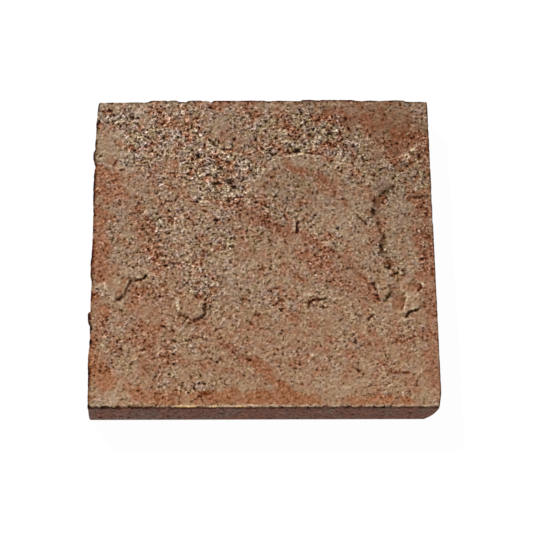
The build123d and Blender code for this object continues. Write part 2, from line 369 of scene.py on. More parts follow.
# How far marks wander from their places, in long and in short waves, the noise that moves them,
# and the shares of it for broken edges and for pits
LONG_BEND, SHORT_BEND = 5, 2.2
LONG_BEND_X, SHORT_BEND_X = (24, 7), (8, 8)
LONG_BEND_Y, SHORT_BEND_Y = (24, 9), (8, 10)
EDGE_X, EDGE_Y = (5, 12), (5, 13)
EDGE_SHARE = 0.35
PIT_SHARE = 0.6

# Where a mark has faded out, in its own half widths
PATCH_REACH = 1.35
VEIN_REACH = 1.25
PIT_REACH = 1.2
BREAK_AND_HIGHLIGHT_REACH = 1.4
ARRIS_REACH = 1.3

# Coarseness: how much there is everywhere, its limits, and what the flakes take off it.
# Here and below, a noise is a base and the shares of the relief's noises that are added to it
COARSE_EVERYWHERE = 0.3
COARSE_LIMITS = (0.05, 1.1)
COARSE_NOISE = {"lump": 0.38, "ripple": 0.2}
PLATE_SMOOTHNESS = 0.5
PLATE_RIM = 3
BROKEN_FROM, BROKEN_OVER = 0.47, 0.5

# Heights of the relief on the top, on sound stone and where it is broken
LEDGE_WIDTH = 3.2
STEP_LIMIT = 1.2
BODY_NOISE = {"wave": 0.45, "ripple": 0.07}
BROKEN_LUMP_HEIGHT = 0.15
PIT_DEPTH, BROKEN_PIT_DEPTH = 0.05, 1.2
PITS_FROM = 0.1
SAND_HEIGHT, BROKEN_SAND_HEIGHT = 0.18, 1.0

# Stains: how much lies everywhere, what keeps it off, and its limits
STAIN_NOISE = (1, {"lump": 0.4, "ripple": 0.5})
RUST_EVERYWHERE = 0.14
RUST_NOISE = {"ripple": 0.1}
RUST_OFF_PLATES = 0.9
RUST_OFF_PALE = 0.6
RUST_LIMITS = (-0.2, 1.2)
OCHRE_OFF_PALE = 0.8
OCHRE_LIMIT = 1.2
GREY_MIDDLE, GREY_TO_BACK = 0.42, 0.5
GREY_NOISE = {"wave": 0.3, "ripple": 0.2}
PALE_PLATES = 0.2
PALE_NOISE = {"lump": 0.12}
# Noise that breaks up the pale breaks and the painted highlights on edges
BREAK_AND_HIGHLIGHT_NOISE = (0.75, {"pit": 1.1, "sand": 1.3})

# The painted highlight along the front arris: its band, where it starts along the front, and two golden
# stretches, each with its middle, half length and strength
ARRIS_BAND = 3.6
ARRIS_DROP, ARRIS_BLEND = 1.2, 0.9
ARRIS_HIGHLIGHT_EVERYWHERE, ARRIS_HIGHLIGHT_MORE = 0.1, 0.6
ARRIS_HIGHLIGHT_FROM, ARRIS_HIGHLIGHT_BLEND = -160, 20
ARRIS_HIGHLIGHT_NOISE = (0.9, {"lump": 0.9, "pit": 0.6})
ARRIS_HIGHLIGHT_LIMIT = 1.5
GOLDEN_STRETCHES = [(-107, 16, 1.4), (-45, 24, 0.9)]
GOLD_NOISE = (0.9, {"lump": 0.5})

# Painted shade along ledges, in cracks, in pits and in broken places, with a few dark stain and vein
# lines
LEDGE_SHADE_AND_STAIN_WIDTH = (1, {"lump": 0.6, "pit": 0.5})
LEDGE_SHADE_AND_STAIN_NOISE = (0.5, {"pit": 1, "sand": 0.9, "lump": 0.4})
CRACK_WIDTH = (1, {"lump": 0.4, "sand": 0.3})
PIT_SHADE = 0.5
PIT_SHADE_NOISE = (0.6, {"sand": 1})
BROKEN_SHADE, BROKEN_SHADE_FROM = 0.45, 0.2
DARK_LIMITS = (-0.2, 1)

# Dark rims round the top, each with its strength and how far in it reaches, and under the front arris
LEFT_RIM = (1.2, 5.0)
BACK_RIM = (1.0, 4.0)
RIGHT_RIM = (0.55, 3.0)
FRONT_RIM = (0.5, 4.0)
FRONT_RIM_END, FRONT_RIM_BLEND = -145, 25
RIM_DEPTH = 5
RIM_NOISE = (0.7, {"lump": 1, "pit": 0.9})
UNDER_ARRIS_DROP, UNDER_ARRIS_WIDTH = 2.8, 4.2
UNDER_ARRIS_NOISE = (0.55, {"lump": 0.45, "pit": 0.3})
FRONT_FACE = 0.8

# The sides: how ragged each is, how proud places fade and wander lower down, and the bites out of
# the arris, each with its noise, the level it starts from and its share
RAGGED_NOISE = (0, {"lump": 0.5, "pit": 0.35, "sand": 0.2})
LEFT_RAGGED, RIGHT_RAGGED, BACK_RAGGED, FRONT_RAGGED = 0.9, 0.3, 0.8, 0.6
PROUD_DEPTH, PROUD_FADE, PROUD_WANDER = 28, 0.7, 14
BITES = [((9, 11), 0.25, 1), ((5, 14), 0.1, 0.6)]
BITE_STRETCH = (1, 1, 0.3)
BITE_DEPTH, BITE_HEIGHT = 2.6, 7
RIGHT_BITES, FRONT_BITES = 0.5, 2.4
GOLD_UNBITTEN = 0.7
SIDE_REACH = 12
CHIP_NOISE = {"lump": 0.8, "pit": 0.5}

# Heights over which the relief dies out down the sides, the sides start above the underside,
# and the sides' colour starts below the top
TOP_BLEND = 9
FOOT_BLEND = 3
SIDE_COLOUR_DROP, SIDE_COLOUR_BLEND = 0.25, 2.2

# Colours of the stone, as the share of light that it gives back
TAN = (0.313, 0.182, 0.104, 1)
PALE = (0.340, 0.230, 0.143, 1)
GREY = (0.278, 0.192, 0.128, 1)
KHAKI = (0.290, 0.200, 0.115, 1)
COOL_GREY = (0.258, 0.178, 0.150, 1)
OLIVE = (0.305, 0.202, 0.098, 1)
OCHRE = (0.285, 0.115, 0.052, 1)
RED_RUST = (0.256, 0.105, 0.057, 1)
# Pale breaks, and the painted highlights on edges
BREAK_AND_HIGHLIGHT = (0.52, 0.40, 0.28, 1)
SIDE = (0.175, 0.086, 0.064, 1)
SIDE_RED = (0.22, 0.092, 0.062, 1)
SIDE_GREY = (0.188, 0.110, 0.083, 1)
# The painted highlight where it is strongest on the ochre front arris
GOLD_HIGHLIGHT = (0.80, 0.50, 0.20, 1)

# A tone of 1 moves each colour this far as it is seen, and no darker than the darkest
TONE_STEP = 0.585
DARKEST = (0.13, 0.085, 0.075)
SEEN_GAMMA = 2.2

# Noise in the material: size, detail and seed, and how the seed moves and turns it
CLOUD = (30, 2, 0.3)
BROAD = (26, 1, 6.1)
MOTTLE = (16, 0, 1.1)
TINT = (12, 0, 8.3)
FLECK = (10, 0, 2.7)
PIT_SPECK = (4.4, 1, 5.3)
CHIP_SPECK = (3.6, 1, 9.1)
SEED_SHIFT = (1, 0.37, 1.9)
FIRST_TURN, SEED_TURN = (0.6, 0.5, 0), (1, 0, 0.9)
NOISE_ROUGHNESS = 0.6

# Ranges in the material: a value from the first to the second gives the third to the fourth, or 0 to 1
TINT_BY_COARSENESS = (0.2, 0.9, 0.25, 0.65)
COOL_SHARE = (0.50, 0.72)
OLIVE_SHARE = (0.50, 0.28)
BROAD_RUST = (0.25, 0.75, -0.30, 0.30)
MOTTLE_RUST = (0.25, 0.75, -0.60, 0.60)
FLECK_RUST = (0.25, 0.75, -0.32, 0.32)
RUST_BY_COARSENESS = (0.3, 0.9, 0.50, 0.82)
RUST_SHARE = (0, 1.0, 0, 0.85)
KHAKI_SHARE = (0, -0.7, 0, 0.75)
OCHRE_SHARE = (0.05, 0.9, 0.0, 0.95)
SIDE_RED_SHARE = (0.35, 0.65)
SIDE_GREY_SHARE = (0.5, 0.62)
SIDE_FLECK = (0.3, 0.7, -0.3, 0.3)
SIDE_SHARE = (0.35, 0.65)
GOLD_HIGHLIGHT_SHARE = (0.85, 1.2)
BREAK_AND_HIGHLIGHT_SHARE = 0.9
ROUGHNESS = (0.3, 0.7, 0.85, 0.98)
SPECULAR = 0.12

# Grains in the material: size and seed, tone and height, and single pits, whose darker tone is painted
# shade, and chips among them
LARGE_GRAIN, SMALL_GRAIN = (5.2, 3.1), (3.2, 1.7)
GRAIN_SPREAD = (0.1, 0.75, -4, 2.5)
GRAIN_BODY, GRAIN_STRETCH = 0.40, 0.19
LARGE_GRAIN_TONE, SMALL_GRAIN_TONE = 0.063, 0.091
LARGE_GRAIN_HEIGHT, SMALL_GRAIN_HEIGHT = 0.22, 0.10
TONE_BY_COARSENESS = (0.1, 1, 0.40, 1.30)
HEIGHT_BY_COARSENESS = (0.1, 1, 0.6, 1.5)
TONE_ON_SIDES = (0, 1, 1, 0.7)
PIT_LIMIT, CHIP_LIMIT = (0, 1, 0.74, 0.58), (0, 1, 0.70, 0.585)
PIT_TONE, CHIP_TONE = (0.2, 1, -0.10, -0.34), (0.2, 1, 0.22, 0.40)
SPECK_RAMP = (-0.01, 0.05)
SPECK_HEIGHT = 0.8
DARK_TONE = -0.62

# Where a mix of colours takes its amount and its two colours, and where it gives the result
MIX_INPUTS, MIX_RESULT = (0, 6, 7), 2

# The camera: the place on the underside that it looks at, and how it stands to it
CAMERA_AIM = Vector((0.0095, -0.0112, 0))
CAMERA_DISTANCE = 2.996
CAMERA_ELEVATION = math.radians(63.65)
CAMERA_AZIMUTH = math.radians(-2.22)
CAMERA_ROLL = math.radians(1.90)
CAMERA_LENS = 139.9
SENSOR_WIDTH = 36

# Light: a soft key from behind on the left, and a pale room
KEY_AZIMUTH = math.radians(-35)
KEY_ELEVATION = math.radians(37)
KEY_STRENGTH = 4.5
KEY_SOFTNESS = math.radians(2)
ROOM_STRENGTH = 0.28
WHITE = (1, 1, 1, 1)

# The floor, in metres, just clear of the underside
FLOOR_HALF_WIDTH = 6
FLOOR_GAP = 0.0002
FLOOR_COLOUR = (0.03, 0.03, 0.03, 1)
FLOOR_GLOW = 0.975


def smooth(value):
    """An even step from 0 to 1 as the value goes from 0 to 1."""
    value = np.clip(value, 0, 1)
    return value * value * (3 - 2 * value)


def fade(distance, half_width, reach=1):
    """1 in the middle of a mark, fading to 0 at this many half widths from it."""
    return smooth(reach - distance / half_width)


def across_edge(distance, width):
    """0 to 1 across an edge of this width, half way at the edge itself."""
    return smooth(distance / width + 0.5)


def noise_at(points, size, seed):
    """Noise from -1 to 1 with waves of this size, at each point."""
    shift = Vector([seed * step for step in SEED_STEP])
    return np.array([noise.noise(Vector(point) / size + shift) for point in points])


def line_distance(x, y, line):
    """How far each place is from a line through these points."""
    nearest = np.full(x.shape, np.inf)
    for (x0, y0), (x1, y1) in zip(line, line[1:]):
        dx, dy = x1 - x0, y1 - y0
        along = np.clip(((x - x0) * dx + (y - y0) * dy) / (dx * dx + dy * dy), 0, 1)
        nearest = np.minimum(nearest, np.hypot(x - x0 - along * dx, y - y0 - along * dy))
    return nearest


def inside_distance(x, y, outline):
    """How far each place is inside a closed outline, negative outside it."""
    closed = outline + outline[:1]
    inside = np.zeros(x.shape, bool)
    for (x0, y0), (x1, y1) in zip(closed, closed[1:]):
        if y0 != y1:
            crosses = (y0 > y) != (y1 > y)
            inside ^= crosses & (x < x0 + (y - y0) * (x1 - x0) / (y1 - y0))
    return np.where(inside, 1, -1) * line_distance(x, y, closed)


def spots(x, y, patches):
    """The patches' strengths added up, each fading out towards its rim."""
    total = np.zeros(x.shape)
    for centre_x, centre_y, half_length, half_width, turn, strength in patches:
        c, s = math.cos(math.radians(turn)), math.sin(math.radians(turn))
        along = ((x - centre_x) * c + (y - centre_y) * s) / half_length
        across = ((y - centre_y) * c - (x - centre_x) * s) / half_width
        total += strength * fade(np.hypot(along, across), 1, PATCH_REACH)
    return total


def lines(x, y, veins, thickness=1):
    """The veins' strengths added up, each fading out from its line."""
    total = np.zeros(x.shape)
    for line, half_width, strength in veins.values():
        total += strength * fade(line_distance(x, y, line), half_width * thickness, VEIN_REACH)
    return total


def bed_step(x, y, width, outline, broken_at, feathers_at):
    """1 at the broken edge of a bed, fading to 0 where it feathers out and outside its outline."""
    (bx, by), (fx, fy) = broken_at, feathers_at
    dx, dy = fx - bx, fy - by
    slope = 1 - ((x - bx) * dx + (y - by) * dy) / (dx * dx + dy * dy)
    return across_edge(inside_distance(x, y, outline), width) * np.clip(slope, 0, STEP_LIMIT)


def brokenness(coarse):
    """How broken up the surface is where it is this coarse, from 0 to 1."""
    return smooth((coarse - BROKEN_FROM) / BROKEN_OVER)


class Relief:
    """What is worked into the slab: heights on the top, breaks on the sides, and where stains, painted
    shade and painted highlights lie.
    """

    def __init__(self, points):
        self.points = points
        self.x, self.y, self.z = points.T
        flat = points * (1, 1, 0)
        self.wave = noise_at(flat, *WAVE)
        self.ripple = noise_at(flat, *RIPPLE)
        self.lump = noise_at(points, *LUMP)
        self.pit = noise_at(points, *PIT)
        self.sand = noise_at(points, *SAND)
        bend_x = LONG_BEND * noise_at(flat, *LONG_BEND_X) + SHORT_BEND * noise_at(flat, *SHORT_BEND_X)
        bend_y = LONG_BEND * noise_at(flat, *LONG_BEND_Y) + SHORT_BEND * noise_at(flat, *SHORT_BEND_Y)
        self.bent = self.x + bend_x, self.y + bend_y
        self.edge = (
            self.x + EDGE_SHARE * bend_x + noise_at(flat, *EDGE_X),
            self.y + EDGE_SHARE * bend_y + noise_at(flat, *EDGE_Y),
        )
        self.pale_patches = np.clip(spots(*self.bent, PALE_PATCHES), 0, 1)

    def uneven(self, base, shares):
        """The base with these shares of the noises added."""
        for name, share in shares.items():
            base = base + share * getattr(self, name)
        return base

    def coarseness(self):
        """How coarse the surface is, from 0, smooth, to 1, pitted."""
        amount = COARSE_EVERYWHERE + spots(*self.bent, COARSE_PATCHES)
        amount -= spots(*self.bent, SMOOTH_PATCHES) + PLATE_SMOOTHNESS * self.plates()
        return np.clip(self.uneven(amount, COARSE_NOISE), *COARSE_LIMITS)

    def plates(self):
        """1 at the flakes' broken edges, fading out over them, and 0 off them."""
        steps = [bed_step(self.x, self.y, PLATE_RIM, *flake[:3]) for flake in FLAKES.values()]
        return np.max(steps, axis=0)

    def beds(self):
        """Heights of the beds, hollows and flakes over the main bed."""
        x, y = self.edge
        height = -BACK_BED_DROP * across_edge(y - np.interp(x, *zip(*BACK_LEDGE)), LEDGE_WIDTH)
        for *bed, drop, width in HOLLOWS.values():
            height -= drop * bed_step(x, y, width, *bed)
        for *bed, rise, width in FLAKES.values():
            height += rise * bed_step(self.x, self.y, width, *bed)
        return height

    def deep_pits(self):
        """Depths of the single pits."""
        x = self.x + PIT_SHARE * (self.bent[0] - self.x)
        y = self.y + PIT_SHARE * (self.bent[1] - self.y)
        depth = np.zeros(x.shape)
        for pit_x, pit_y, radius, deepest in PITS:
            depth = np.maximum(depth, deepest * fade(np.hypot(x - pit_x, y - pit_y), radius, PIT_REACH))
        return depth

    def height(self, coarse):
        """Height of the top over the main bed."""
        broken = brokenness(coarse)
        body = self.uneven(0, BODY_NOISE) + BROKEN_LUMP_HEIGHT * broken * self.lump
        pits = (PIT_DEPTH + BROKEN_PIT_DEPTH * broken) * np.clip(self.pit - PITS_FROM, 0, 1)
        sand = (SAND_HEIGHT + BROKEN_SAND_HEIGHT * broken) * self.sand
        return body + self.beds() - self.deep_pits() - pits + sand

    def rust(self):
        """How rusty each place is."""
        amount = lines(*self.bent, RUST_VEINS) + spots(*self.bent, RUST_PATCHES)
        amount *= self.uneven(*STAIN_NOISE) * (1 - RUST_OFF_PLATES * self.plates())
        amount *= 1 - RUST_OFF_PALE * self.pale_patches
        return np.clip(self.uneven(amount + RUST_EVERYWHERE, RUST_NOISE), *RUST_LIMITS)

    def grey(self):
        """How grey each place is: more towards the back, less towards the front."""
        amount = GREY_MIDDLE + GREY_TO_BACK * self.y / HALF_DEPTH
        return np.clip(self.uneven(amount + spots(*self.bent, GREY_PATCHES), GREY_NOISE), 0, 1)

    def ochre(self):
        """How ochre each place is."""
        amount = lines(*self.bent, OCHRE_VEINS) * self.uneven(*STAIN_NOISE)
        return np.clip(amount * (1 - OCHRE_OFF_PALE * self.pale_patches), 0, OCHRE_LIMIT)

    def pale(self):
        """How pale each place is."""
        amount = self.pale_patches + PALE_PLATES * self.plates()
        return np.clip(self.uneven(amount, PALE_NOISE), 0, 1)

    def break_and_highlight(self):
        """How pale each place is from fresh breaks and from painted highlights on edges and along the
        front arris.
        """
        breaks_and_highlights = np.zeros(self.x.shape)
        for line, half_width in PALE_BREAKS_AND_HIGHLIGHTS.values():
            breaks_and_highlights = np.maximum(breaks_and_highlights, fade(line_distance(*self.edge, line), half_width, BREAK_AND_HIGHLIGHT_REACH))
        return np.maximum(breaks_and_highlights * smooth(self.uneven(*BREAK_AND_HIGHLIGHT_NOISE)), self.arris_highlight())

    def arris_highlight(self):
        """How strong the painted highlight along the front arris is, above 1 in the golden stretches."""
        at_arris = fade(self.y + HALF_DEPTH, ARRIS_BAND, ARRIS_REACH)
        at_arris *= smooth((self.z - MAIN_BED + ARRIS_DROP) / ARRIS_BLEND)
        along = smooth((self.x - ARRIS_HIGHLIGHT_FROM) / ARRIS_HIGHLIGHT_BLEND)
        arris_light = ARRIS_HIGHLIGHT_EVERYWHERE + ARRIS_HIGHLIGHT_MORE * along * self.uneven(*ARRIS_HIGHLIGHT_NOISE)
        return at_arris * np.clip(arris_light + self.golden() * self.uneven(*GOLD_NOISE), 0, ARRIS_HIGHLIGHT_LIMIT)

    def golden(self):
        """Where the golden stretches of the painted highlight along the front arris lie."""
        total = np.zeros(self.x.shape)
        for middle, half_length, strength in GOLDEN_STRETCHES:
            total += strength * fade(abs(self.x - middle), half_length, ARRIS_REACH)
        return total

    def dark(self, coarse):
        """How much darker each place is: painted shade along ledges, in cracks, under flakes and in pits,
        dark stain and vein lines, broad patches and the dark rims.
        """
        darkening = lines(*self.edge, LEDGE_SHADE_AND_STAIN, self.uneven(*LEDGE_SHADE_AND_STAIN_WIDTH))
        darkening *= smooth(self.uneven(*LEDGE_SHADE_AND_STAIN_NOISE))
        darkening += lines(*self.edge, CRACKS, self.uneven(*CRACK_WIDTH))
        darkening += PIT_SHADE * self.deep_pits() * smooth(self.uneven(*PIT_SHADE_NOISE))
        darkening += spots(*self.bent, SHADE_PATCHES) + self.rims()
        darkening += BROKEN_SHADE * brokenness(coarse) * np.clip(self.pit - BROKEN_SHADE_FROM, 0, 1)
        return np.clip(darkening, *DARK_LIMITS)

    def rims(self):
        """How dark the top's rims are, and the front side just under its arris."""
        front = self.y + HALF_DEPTH
        total = np.zeros(self.x.shape)
        for inward, (strength, reach) in (
            (self.x + HALF_WIDTH, LEFT_RIM),
            (HALF_DEPTH - self.y, BACK_RIM),
            (HALF_WIDTH - self.x, RIGHT_RIM),
        ):
            total += strength * fade(inward, reach)
        strength, reach = FRONT_RIM
        total += strength * fade(front, reach) * smooth((FRONT_RIM_END - self.x) / FRONT_RIM_BLEND)
        total *= smooth(self.uneven(*RIM_NOISE)) * smooth((self.z - MAIN_BED + RIM_DEPTH) / RIM_DEPTH)
        under = fade(abs(MAIN_BED - UNDER_ARRIS_DROP - self.z), UNDER_ARRIS_WIDTH)
        return total + under * fade(front, FRONT_FACE) * self.uneven(*UNDER_ARRIS_NOISE)

    def stains_and_painted_light(self, coarse):
        """What the material reads at each point of the top and the sides."""
        return {
            "rust": self.rust(), "ochre": self.ochre(), "grey": self.grey(), "pale": self.pale(),
            "break_and_highlight": self.break_and_highlight(), "dark": self.dark(coarse), "coarse": coarse,
        }


def arc_ring(step):
    """How far out and down the arris has come round at this step."""
    turn = math.pi / 2 * step / ARRIS_STEPS
    return ARRIS * math.sin(turn), ARRIS * (1 - math.cos(turn))


def draw_rim(bm, rim, half, height):
    """Draws the open rim out to this half width and down to this height, and gives the new rim."""
    grown = bmesh.ops.extrude_edge_only(bm, edges=rim)["geom"]
    verts = [part for part in grown if isinstance(part, bmesh.types.BMVert)]
    reach = max(vert.co.x for vert in verts)
    bmesh.ops.scale(bm, vec=(half / reach, half / reach, 1), verts=verts)
    bmesh.ops.translate(bm, vec=(0, 0, height - verts[0].co.z), verts=verts)
    return [part for part in grown if isinstance(part, bmesh.types.BMEdge) and part.is_boundary]


def blank():
    """The plain slab: a sheet of small cells whose rim is drawn over the arris and down the sides."""
    bm = bmesh.new()
    bmesh.ops.create_grid(bm, x_segments=CELLS, y_segments=CELLS, size=HALF_WIDTH - ARRIS)
    bmesh.ops.translate(bm, vec=(0, 0, MAIN_BED), verts=bm.verts)
    rim = [edge for edge in bm.edges if edge.is_boundary]
    for step in range(1, ARRIS_STEPS + 1):
        out, down = arc_ring(step)
        rim = draw_rim(bm, rim, HALF_WIDTH - ARRIS + out, MAIN_BED - down)
    for step in range(1, SIDE_STEPS + 1):
        rim = draw_rim(bm, rim, HALF_WIDTH, (MAIN_BED - ARRIS) * (1 - step / SIDE_STEPS))
    bmesh.ops.edgeloop_fill(bm, edges=rim)
    bmesh.ops.recalc_face_normals(bm, faces=bm.faces)
    return bm


def round_corners(x, y):
    """Pulls the upright corners in to their worn radius."""
    for side_x in (-1, 1):
        for side_y in (-1, 1):
            back_left = side_x < 0 < side_y
            radius = BACK_LEFT_CORNER_RADIUS if back_left else CORNER_RADIUS
            across = x * side_x - (HALF_WIDTH - radius)
            along = y * side_y - (HALF_DEPTH - radius)
            far = np.hypot(across, along)
            outside = (across > 0) & (along > 0) & (far > radius)
            share = np.where(outside, radius / np.maximum(far, radius), 1)
            x = np.where(outside, side_x * (HALF_WIDTH - radius + across * share), x)
            y = np.where(outside, side_y * (HALF_DEPTH - radius + along * share), y)
    return x, y


def proud(along, profile):
    """How far a side with this profile stands proud at each distance along it."""
    return np.interp(along, *zip(*profile))


def bites(relief):
    """How deep small bites are broken out of the sides at the arris."""
    depth = np.zeros(relief.x.shape)
    for kind, start, share in BITES:
        depth += share * np.clip(noise_at(relief.points * BITE_STRETCH, *kind) - start, 0, 1)
    return BITE_DEPTH * smooth((relief.z - MAIN_BED + BITE_HEIGHT) / BITE_HEIGHT) * depth


def break_sides(relief, x, y, on_side):
    """Moves the sides in and out: proud and broken places, and small bites at the arris."""
    ragged = relief.uneven(*RAGGED_NOISE)
    bitten = bites(relief)
    depth = smooth((MAIN_BED - relief.z) / PROUD_DEPTH)
    wander = PROUD_WANDER * depth * relief.lump
    kept = 1 - PROUD_FADE * depth
    left = kept * proud(relief.y + wander, LEFT_PROFILE) + LEFT_RAGGED * ragged - bitten
    right = proud(relief.y, RIGHT_PROFILE) + RIGHT_RAGGED * ragged - RIGHT_BITES * bitten
    back = kept * proud(relief.x + wander, BACK_PROFILE) + BACK_RAGGED * ragged - bitten
    unbitten = np.clip(1 - GOLD_UNBITTEN * relief.golden(), 0, 1)
    front = FRONT_RAGGED * ragged - FRONT_BITES * bitten * unbitten
    for sign, moved in ((-1, left), (1, right)):
        x = x + sign * moved * on_side * fade(HALF_WIDTH - sign * relief.x, SIDE_REACH)
    for sign, moved in ((-1, front), (1, back)):
        y = y + sign * moved * on_side * fade(HALF_DEPTH - sign * relief.y, SIDE_REACH)
    return x, y


def chip_corner(relief, x, y):
    """Breaks the front right corner off along its curved face."""
    reach = relief.uneven(np.interp(relief.z, CHIP_HEIGHTS, CHIP_REACHES), CHIP_NOISE)
    past = (x - HALF_WIDTH) - (y + HALF_DEPTH) + reach
    back = np.clip(past, 0, None) / 2
    return x - back, y + back


def worked(relief, coarse, on_side):
    """Where each point of the blank lies once the sides are broken and the relief is worked in."""
    on_top = smooth((relief.z - MAIN_BED + TOP_BLEND) / TOP_BLEND)
    x, y = round_corners(relief.x, relief.y)
    x, y = break_sides(relief, x, y, on_side)
    x, y = chip_corner(relief, x, y)
    return np.column_stack((x, y, relief.z + on_top * relief.height(coarse)))


def mesh_of(bm, name):
    """The finished mesh, under this name."""
    mesh = bpy.data.meshes.new(name)
    bm.to_mesh(mesh)
    bm.free()
    return mesh


def placed(name, data):
    """A new object of this name in the scene."""
    thing = bpy.data.objects.new(name, data)
    bpy.context.scene.collection.objects.link(thing)
    return thing


def keep(mesh, name, values):
    """Keeps a value for each vertex, for the material to read."""
    mesh.attributes.new(name, "FLOAT", "POINT").data.foreach_set("value", values.astype(np.float32))


def hearth_slab():
    """The slab, with its relief worked in and its stains, painted shade and painted highlights kept as
    attributes.
    """
    mesh = mesh_of(blank(), "riven_hearth_slab")
    points = np.empty(len(mesh.vertices) * 3)
    mesh.vertices.foreach_get("co", points)
    relief = Relief(points.reshape(-1, 3))
    coarse = relief.coarseness()
    on_side = smooth(relief.z / FOOT_BLEND)
    mesh.vertices.foreach_set("co", worked(relief, coarse, on_side).ravel() * MM)
    for name, values in relief.stains_and_painted_light(coarse).items():
        keep(mesh, name, values * on_side)
    keep(mesh, "side", smooth((MAIN_BED - SIDE_COLOUR_DROP - relief.z) / SIDE_COLOUR_BLEND))
    mesh.polygons.foreach_set("use_smooth", [len(face.vertices) == 4 for face in mesh.polygons])
    mesh.update()
    return placed("riven_hearth_slab", mesh)


class Nodes:
    """Short ways to add the nodes of one material."""

    def __init__(self, name):
        self.material = bpy.data.materials.new(name)
        self.material.use_nodes = True
        self.tree = self.material.node_tree
        self.tree.nodes.clear()

    def add(self, kind, inputs=(), **settings):
        """A new node with these settings and inputs, each input a value or another node's output."""
        node = self.tree.nodes.new(kind)
        for name, value in settings.items():
            setattr(node, name, value)
        for name, value in dict(inputs).items():
            self.put(node.inputs[name], value)
        return node

    def put(self, socket, value):
        """Links an output to the socket, or sets the socket to a value."""
        if isinstance(value, bpy.types.NodeSocket):
            self.tree.links.new(value, socket)
        else:
            socket.default_value = value

    def attribute(self, name):
        """A value that is kept for each vertex."""
        return self.add("ShaderNodeAttribute", attribute_name=name).outputs["Fac"]

    def noise(self, size, detail, seed):
        """Noise from 0 to 1 with waves of this size in millimetres."""
        place = self.add("ShaderNodeTexCoord").outputs["Object"]
        shift = [seed * share for share in SEED_SHIFT]
        turn = [first + seed * share for first, share in zip(FIRST_TURN, SEED_TURN)]
        moved = self.add("ShaderNodeMapping", {"Vector": place, "Location": shift, "Rotation": turn})
        waves = {"Scale": 1 / (size * MM), "Detail": detail, "Roughness": NOISE_ROUGHNESS}
        return self.add("ShaderNodeTexNoise", {"Vector": moved.outputs["Vector"], **waves}).outputs["Fac"]

    def grains(self, size, seed):
        """Grains of this size in millimetres: most are near 0, and a few far lighter or darker."""
        spread = self.range(self.noise(size, 0, seed), *GRAIN_SPREAD)
        stretched = self.sum(self.times(self.times(spread, spread), GRAIN_STRETCH), GRAIN_BODY)
        return self.times(spread, stretched)

    def toned(self, colour, tone):
        """The colour made lighter and greyer above a tone of 0, or darker and redder below it."""
        seen = self.gamma(colour, 1 / SEEN_GAMMA)
        moved = self.pair("ShaderNodeVectorMath", "ADD", seen, self.times(tone, TONE_STEP))
        kept = self.pair("ShaderNodeVectorMath", "MAXIMUM", moved, DARKEST)
        return self.gamma(kept, SEEN_GAMMA)

    def gamma(self, colour, power):
        """The colour with each of its parts raised to a power."""
        return self.add("ShaderNodeGamma", {"Color": colour, "Gamma": power}).outputs["Color"]

    def range(self, value, low, high, to_low=0.0, to_high=1.0):
        """The value moved from one range to another and kept inside it."""
        return self.add(
            "ShaderNodeMapRange",
            {"Value": value, "From Min": low, "From Max": high, "To Min": to_low, "To Max": to_high},
        ).outputs["Result"]

    def pair(self, kind, operation, first, second):
        """The result of an operation on two values."""
        node = self.add(kind, operation=operation)
        for socket, value in zip(node.inputs, (first, second)):
            self.put(socket, value)
        return node.outputs[0]

    def sum(self, first, second):
        return self.pair("ShaderNodeMath", "ADD", first, second)

    def less(self, first, second):
        return self.pair("ShaderNodeMath", "SUBTRACT", first, second)

    def times(self, first, second):
        return self.pair("ShaderNodeMath", "MULTIPLY", first, second)

    def above(self, value, limit):
        """1 where the value is above the limit, with a short ramp."""
        return self.range(self.less(value, limit), *SPECK_RAMP)

    def mix(self, amount, first, second):
        """The first colour mixed with this amount of the second."""
        node = self.add("ShaderNodeMix", data_type="RGBA")
        for place, value in zip(MIX_INPUTS, (amount, first, second)):
            self.put(node.inputs[place], value)
        return node.outputs[MIX_RESULT]

    def surface(self, inputs):
        """The material, with one surface that has these inputs."""
        surface = self.add("ShaderNodeBsdfPrincipled", inputs)
        self.add("ShaderNodeOutputMaterial", {"Surface": surface.outputs["BSDF"]})
        return self.material


def top_colour(n, coarse, mottle, fleck):
    """The top's colour: tan and grey, with pale patches, tints, rust, khaki and ochre."""
    colour = n.mix(n.attribute("grey"), TAN, GREY)
    colour = n.mix(n.attribute("pale"), colour, PALE)
    tint = n.noise(*TINT)
    tinted = n.range(coarse, *TINT_BY_COARSENESS)
    colour = n.mix(n.times(n.range(tint, *COOL_SHARE), tinted), colour, COOL_GREY)
    colour = n.mix(n.times(n.range(tint, *OLIVE_SHARE), tinted), colour, OLIVE)
    uneven = n.sum(n.range(mottle, *MOTTLE_RUST), n.range(fleck, *FLECK_RUST))
    uneven = n.sum(uneven, n.range(n.noise(*BROAD), *BROAD_RUST))
    uneven = n.times(uneven, n.range(coarse, *RUST_BY_COARSENESS))
    rust = n.sum(n.attribute("rust"), uneven)
    colour = n.mix(n.range(rust, *RUST_SHARE), colour, RED_RUST)
    colour = n.mix(n.range(rust, *KHAKI_SHARE), colour, KHAKI)
    ochre = n.sum(n.attribute("ochre"), uneven)
    return n.mix(n.range(ochre, *OCHRE_SHARE), colour, OCHRE)


def with_sides(n, colour, mottle, fleck):
    """The colour with the dark sides laid over it, and the fresh breaks and painted highlights over both.
    """
    side = n.mix(n.range(mottle, *SIDE_RED_SHARE), SIDE, SIDE_RED)
    side = n.mix(n.range(n.noise(*CLOUD), *SIDE_GREY_SHARE), side, SIDE_GREY)
    ragged = n.sum(n.attribute("side"), n.range(fleck, *SIDE_FLECK))
    colour = n.mix(n.range(ragged, *SIDE_SHARE), colour, side)
    # Pale breaks and painted highlights on edges, turning gold where the front arris's painted highlight
    # is strongest
    break_and_highlight = n.attribute("break_and_highlight")
    break_and_highlight_colour = n.mix(n.range(break_and_highlight, *GOLD_HIGHLIGHT_SHARE), BREAK_AND_HIGHLIGHT, GOLD_HIGHLIGHT)
    return n.mix(n.times(break_and_highlight, BREAK_AND_HIGHLIGHT_SHARE), colour, break_and_highlight_colour)


